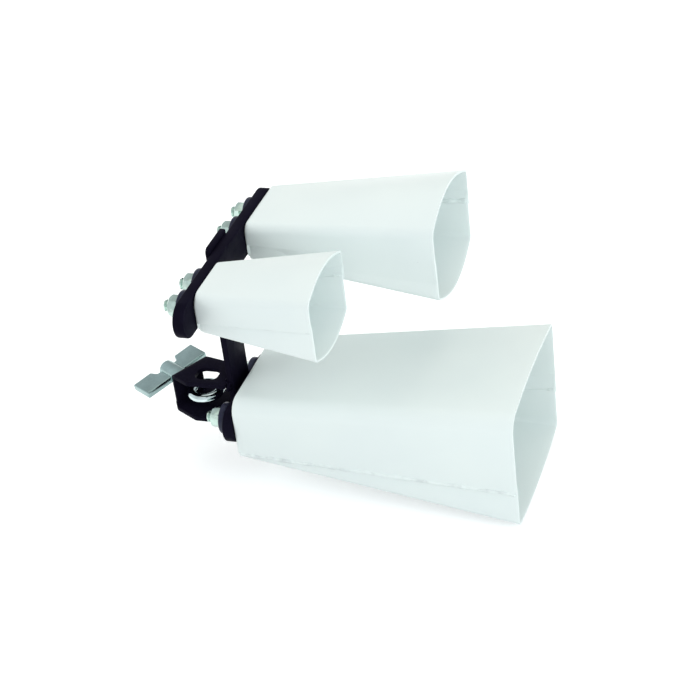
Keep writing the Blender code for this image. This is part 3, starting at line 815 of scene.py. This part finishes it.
def eyeBolt():
    look = eyeLook
    shank = threadedRod("eyeShank", look["shank"], look["shankStart"], look["shankEnd"])
    clearPick()
    bpy.ops.mesh.primitive_torus_add(major_segments=look["ringSteps"], minor_segments=look["sectionSteps"],
                                     major_radius=look["ring"], minor_radius=look["section"],
                                     location=(look["draw"], 0, 0))
    piece = named("eyeBolt")
    settle(piece, piece.location.copy())
    combine(piece, shank, "UNION")
    settle(piece, turn=(0, 0, look["turn"]))
    smooth(piece, look["smoothAngle"])
    keep(piece, eyeFinish, "chrome", "eyebolt", "eyebolt")


# wing nut: flat cast wings on a long hub

wingLook = {"hub": 0.0065, "hubSides": 56, "hubStart": 0.0203, "hubEnd": 0.0492, "hubRound": 0.0023,
            "hubSteps": 5, "tip": 0.0274, "inner": 0.0345, "tipInner": 0.0350, "outer": 0.0524,
            "thick": 0.0052, "drop": 0.0006, "notch": 0.0114, "notchDepth": 0.0055, "edge": 0.0010,
            "edgeSteps": 4, "corner": 0.0008, "cornerSteps": 4, "tilt": math.radians(-7.2), "bore": 0.0043,
            "boreSides": 32, "borePast": 0.001, "blend": 0.0005, "blendSteps": 3, "blendAngle": 42,
            "smoothAngle": 40}


def wingNut():
    look = wingLook
    waist = look["outer"] - look["notchDepth"]
    side = [(look["inner"], look["hub"]), (look["tipInner"], look["tip"]), (look["outer"], look["tip"]),
            (look["outer"], look["notch"]), (waist, (look["notch"] + look["hub"]) / 2)]
    outline = side + [(x, -y) for x, y in reversed(side)]
    piece = emptyMesh("wingNut")
    drawLine([(x, y, -look["thick"] / 2 - look["drop"]) for x, y in outline + outline[:1]])
    mergeAll()
    bpy.ops.mesh.edge_face_add()
    bpy.ops.mesh.extrude_region_move(TRANSFORM_OT_translate={"value": (0, 0, look["thick"])})
    faceOut()
    pick("EDGE", lambda e: runsAlong(e, 2))
    bevelPicked(look["corner"], look["cornerSteps"])
    roundRims(2, look["edge"], look["edgeSteps"])
    done()
    hub = rodX("hub", look["hub"], look["hubStart"], look["hubEnd"], look["hubSides"])
    edit(hub)
    pick("EDGE", lambda e: liesAt(e, look["hubEnd"]))
    bevelPicked(look["hubRound"], look["hubSteps"])
    done()
    combine(piece, hub, "UNION")
    drill(piece, look["bore"], look["hubStart"] - look["borePast"], look["hubEnd"] + look["borePast"],
          look["boreSides"])
    softEdges(piece, look["blend"], look["blendSteps"], look["blendAngle"])
    settle(piece, turn=(look["tilt"], 0, eyeLook["turn"]))
    smooth(piece, look["smoothAngle"])
    keep(piece, wingFinish, "chrome", "wing_nut", "wing_nut")


eyeBolt()
wingNut()
print("eyebolt and wing nut built")


# fasteners: one set is modelled on the X axis and copied to its places

setLook = {"flats": 0.013, "cutRadius": 0.62, "cutChamfer": 0.13, "cutSides": 64, "bore": 0.0043,
           "boreSides": 32, "edgeSteps": 2, "edgeAngle": 24, "smoothAngle": 30}
boltLook = {"headHeight": 0.0053, "shank": 0.004, "headX": 0.0343, "tipX": 0.0082, "tipLength": 0.0005,
            "tipShare": 0.84, "intoHead": 0.001, "edge": 0.00018}
nutLook = {"height": 0.007, "x": 0.0192, "boreStart": 0.005, "boreEnd": 0.030, "edge": 0.00025}
washerLook = {"round": 0.0015, "roundSteps": 5, "sides": 64, "borePast": 0.002, "smoothAngle": 35}
setTurns = {("large", "near"): 0.22, ("large", "far"): 0.75, ("medium", "near"): 0.12,
            ("medium", "far"): 0.40, ("small", "near"): 0.05, ("small", "far"): 0.20}  # each nut, in radians


def hexBlock(name, start, stop, chamferStart, chamferStop):
    # hexagon whose corners are turned off by a chamfered cylinder
    flats = setLook["flats"]
    piece = rodX(name, flats / 2 / math.cos(math.pi / 6), start, stop, 6)
    cone = rodX("cornerCut", flats * setLook["cutRadius"], start, stop, setLook["cutSides"])
    ends = [x for x, wanted in ((start, chamferStart), (stop, chamferStop)) if wanted]
    edit(cone)
    pick("EDGE", lambda e: any(liesAt(e, x) for x in ends))
    bevelPicked(flats * setLook["cutChamfer"], 1)
    done()
    combine(piece, cone, "INTERSECT")
    return piece


def finishHex(piece, edge):
    softEdges(piece, edge, setLook["edgeSteps"], setLook["edgeAngle"])
    smooth(piece, setLook["smoothAngle"])
    return piece


def makeBolt():
    look = boltLook
    piece = hexBlock("boltMaster", look["headX"], look["headX"] + look["headHeight"], False, True)
    shank = threadedRod("boltShank", look["shank"], look["tipX"], look["headX"] + look["intoHead"])
    edit(shank)
    pick("VERT", lambda v: v.co.x < look["tipX"] + look["tipLength"])
    bpy.ops.transform.resize(value=(1, look["tipShare"], look["tipShare"]),
                             center_override=(look["tipX"], 0, 0))
    done()
    combine(piece, shank, "UNION")
    return finishHex(piece, look["edge"])


def makeNut():
    look = nutLook
    piece = hexBlock("nutMaster", look["x"], look["x"] - look["height"], True, True)
    drill(piece, setLook["bore"], look["boreStart"], look["boreEnd"], setLook["boreSides"])
    return finishHex(piece, look["edge"])


def makeWasher():
    look = washerLook
    low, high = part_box("large_bell_washer_near")
    piece = rodX("washerMaster", (high.z - low.z) / 2, low.x, high.x, look["sides"])
    edit(piece)
    roundRims(0, look["round"], look["roundSteps"])
    done()
    drill(piece, setLook["bore"], low.x - look["borePast"], high.x + look["borePast"], setLook["boreSides"])
    smooth(piece, look["smoothAngle"])
    return piece


masters = {"bolt": makeBolt(), "nut": makeNut(), "washer": makeWasher()}
for (size, side), spin in setTurns.items():
    y, z = boltPlace(size, side)
    for word, master in masters.items():
        finish, slot = (washerFinish, "rubber_black") if word == "washer" else (zincFinish, "zinc")
        turn = spin if word == "nut" else 0.0
        copy = twin(master, f"{size}{word.capitalize()}{side.capitalize()}", (0, y, z), turn)
        keep(copy, finish, slot, "frame", f"{size}_bell_{word}_{side}")
for master in masters.values():
    bpy.data.objects.remove(master, do_unlink=True)
print("fasteners placed")


# studio: pale floor, soft lamps, camera where the photograph was taken

floorLook = {"size": 8, "place": (0.08, 0.0), "drop": 0.0004, "colour": (0.86, 0.87, 0.87), "roughness": 0.9,
             "glow": 0.42}


def makeFloor():
    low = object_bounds()[0]
    clearPick()
    bpy.ops.mesh.primitive_plane_add(size=floorLook["size"], location=(0, 0, 0))
    floor = named("studioFloor")
    settle(floor, (*floorLook["place"], low[2] - floorLook["drop"]))
    finish = bpy.data.materials.new("studioFloorPaper")
    finish.use_nodes = True
    tree = finish.node_tree
    shader = tree.nodes["Principled BSDF"]
    shader.inputs["Base Color"].default_value = (*floorLook["colour"], 1)
    shader.inputs["Roughness"].default_value = floorLook["roughness"]
    shader.inputs["Specular IOR Level"].default_value = 0.0
    # the eye and mirrors see it as white paper
    rays = tree.nodes.new("ShaderNodeLightPath")
    seen = mathNode(tree, "MAXIMUM", rays.outputs["Is Camera Ray"], rays.outputs["Is Glossy Ray"])
    seen = mathNode(tree, "MAXIMUM", seen, rays.outputs["Is Transmission Ray"])
    glow = tree.nodes.new("ShaderNodeEmission")
    glow.inputs["Color"].default_value = (1, 1, 1, 1)
    tree.links.new(mathNode(tree, "MULTIPLY", seen, floorLook["glow"]), glow.inputs["Strength"])
    both = tree.nodes.new("ShaderNodeAddShader")
    tree.links.new(shader.outputs["BSDF"], both.inputs[0])
    tree.links.new(glow.outputs["Emission"], both.inputs[1])
    tree.links.new(both.outputs["Shader"], tree.nodes["Material Output"].inputs["Surface"])
    floor.data.materials.append(finish)


skyLook = {"horizon": [(0.09, (1.0, 1.0, 1.0)), (0.22, (0.0, 0.0, 0.0)), (0.78, (0.0, 0.0, 0.0)),
                       (0.88, (0.92, 0.93, 0.90))],
           "sides": [(0.15, (0.44, 0.45, 0.455)), (0.85, (0.83, 0.86, 0.89))]}


def makeWorld():
    # white at the horizon and overhead, and between them brighter in front and at the sides than behind
    world = bpy.data.worlds.new("studioWorld")
    bpy.context.scene.world = world
    world.use_nodes = True
    tree = world.node_tree
    tree.nodes.clear()
    coord = tree.nodes.new("ShaderNodeTexCoord")
    split = tree.nodes.new("ShaderNodeSeparateXYZ")
    light = tree.nodes.new("ShaderNodeBackground")
    out = tree.nodes.new("ShaderNodeOutputWorld")
    sky = tree.nodes.new("ShaderNodeMixRGB")
    sky.blend_type = "LIGHTEN"
    sky.inputs["Fac"].default_value = 1.0
    tree.links.new(coord.outputs["Generated"], split.inputs[0])
    aside = mathNode(tree, "ABSOLUTE", split.outputs["X"])
    front = mathNode(tree, "MULTIPLY", split.outputs["Y"], -1.0)
    around = mathNode(tree, "MAXIMUM", aside, front)
    tree.links.new(ramp(tree, around, skyLook["sides"]), sky.inputs["Color1"])
    tree.links.new(ramp(tree, split.outputs["Z"], skyLook["horizon"]), sky.inputs["Color2"])
    tree.links.new(sky.outputs["Color"], light.inputs["Color"])
    tree.links.new(light.outputs["Background"], out.inputs["Surface"])


lampAim = (0.08, 0.01, 0.05)
lamps = {
    "backSoft": {"place": (0.0, 0.85, 1.15), "size": (1.2, 0.9), "power": 4.4, "colour": (1.0, 1.0, 0.92)},
    "mouthSoft": {"place": (1.08, -0.55, 0.42), "size": (0.9, 0.8), "power": 3.8,
                  "colour": (0.84, 0.95, 1.0)},
    "leftSoft": {"place": (-1.05, -0.45, 0.55), "size": (0.8, 0.9), "power": 2.2,
                 "colour": (0.96, 0.975, 1.0)},
}


def makeLamps():
    for name, lamp in lamps.items():
        clearPick()
        bpy.ops.object.light_add(type="AREA", location=lamp["place"])
        light = bpy.context.object
        light.name = name
        light.data.shape = "RECTANGLE"
        light.data.size, light.data.size_y = lamp["size"]
        light.data.energy = lamp["power"]
        light.data.color = lamp["colour"]
        light.rotation_euler = (Vector(lampAim) - light.location).to_track_quat("-Z", "Y").to_euler()
        light.visible_glossy = False  # metal mirrors the room, not the lamps


photoView = {"place": (0.501, -0.982, 0.731), "right": (0.94861, 0.29821, -0.10586),
             "up": (-0.07708, 0.54220, 0.83671), "back": (0.30691, -0.78555, 0.53732),
             "sensor": 36, "lens": 95.95, "shift": (-0.00977, -0.02238), "nearest": 0.01}


def makeCamera():
    clearPick()
    bpy.ops.object.camera_add(location=photoView["place"])
    camera = bpy.context.object
    camera.name = "photoCamera"
    axes = Matrix((photoView["right"], photoView["up"], photoView["back"])).transposed()
    camera.rotation_euler = axes.to_euler()
    camera.data.sensor_width = photoView["sensor"]
    camera.data.lens = photoView["lens"]
    camera.data.shift_x, camera.data.shift_y = photoView["shift"]
    camera.data.clip_start = photoView["nearest"]
    bpy.context.scene.camera = camera


makeFloor()
makeWorld()
makeLamps()
makeCamera()
bpy.context.scene.view_settings.view_transform = "Standard"
print("studio set")

clearPick()
